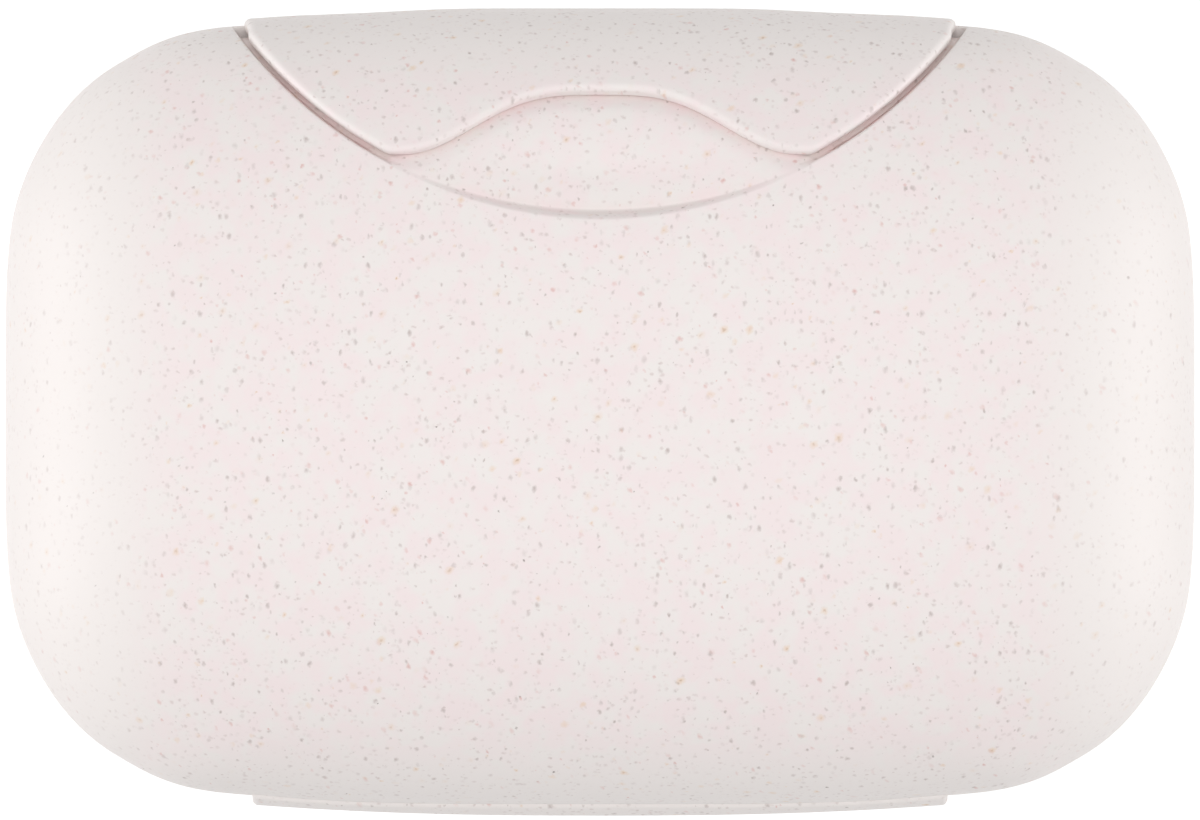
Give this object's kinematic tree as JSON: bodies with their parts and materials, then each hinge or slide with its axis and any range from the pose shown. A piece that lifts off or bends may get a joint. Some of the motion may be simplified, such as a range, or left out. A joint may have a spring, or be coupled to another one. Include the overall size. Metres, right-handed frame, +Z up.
{
  "type": "travel soap box",
  "caption": "Hinged travel soap box in flecked plastic: pillow-shaped base and lid, wide front latch flap, rear skirt hinge, soft seal ring and lift-out drain rack.",
  "frame": {"origin": "bottom centre of the closed box, on the surface it stands on", "axes": "+X along the box, -Y towards the latch flap, +Y towards the hinge, +Z up"},
  "size_m": [0.115, 0.078, 0.0419],
  "materials": {
    "shell_plastic": "matte, flecked",
    "pin_steel": "drawn wire",
    "seal_silicone": "matte",
    "rack_plastic": "matte, flecked"
  },
  "bodies": {
    "base": {"base_shell": "shell_plastic", "latch_hinge_pin_left": "pin_steel", "latch_hinge_pin_right": "pin_steel", "lid_hinge_pin_left": "pin_steel", "lid_hinge_pin_right": "pin_steel"},
    "lid": {"lid_shell": "shell_plastic", "seal_ring": "seal_silicone"},
    "latch": {"latch_flap": "shell_plastic"},
    "rack": {"drain_rack": "rack_plastic"}
  },
  "joints": [
    {"name": "lid_hinge", "type": "hinge", "parent": "base", "child": "lid", "pos_m": [0, 0.03701, 0.013], "axis": [-1, 0, 0], "range_deg": [0, 72]},
    {"name": "latch_hinge", "type": "hinge", "parent": "base", "child": "latch", "pos_m": [0, -0.03654, 0.015], "axis": [1, 0, 0], "range_deg": [0, 144]},
    {"name": "rack_lift", "type": "slide", "parent": "base", "child": "rack", "axis": [0, 0, 1], "range_m": [0, 0.01]}
  ],
  "couplings": [
    {"joint": "latch_hinge", "follows": "lid_hinge", "ratio": 2}
  ]
}
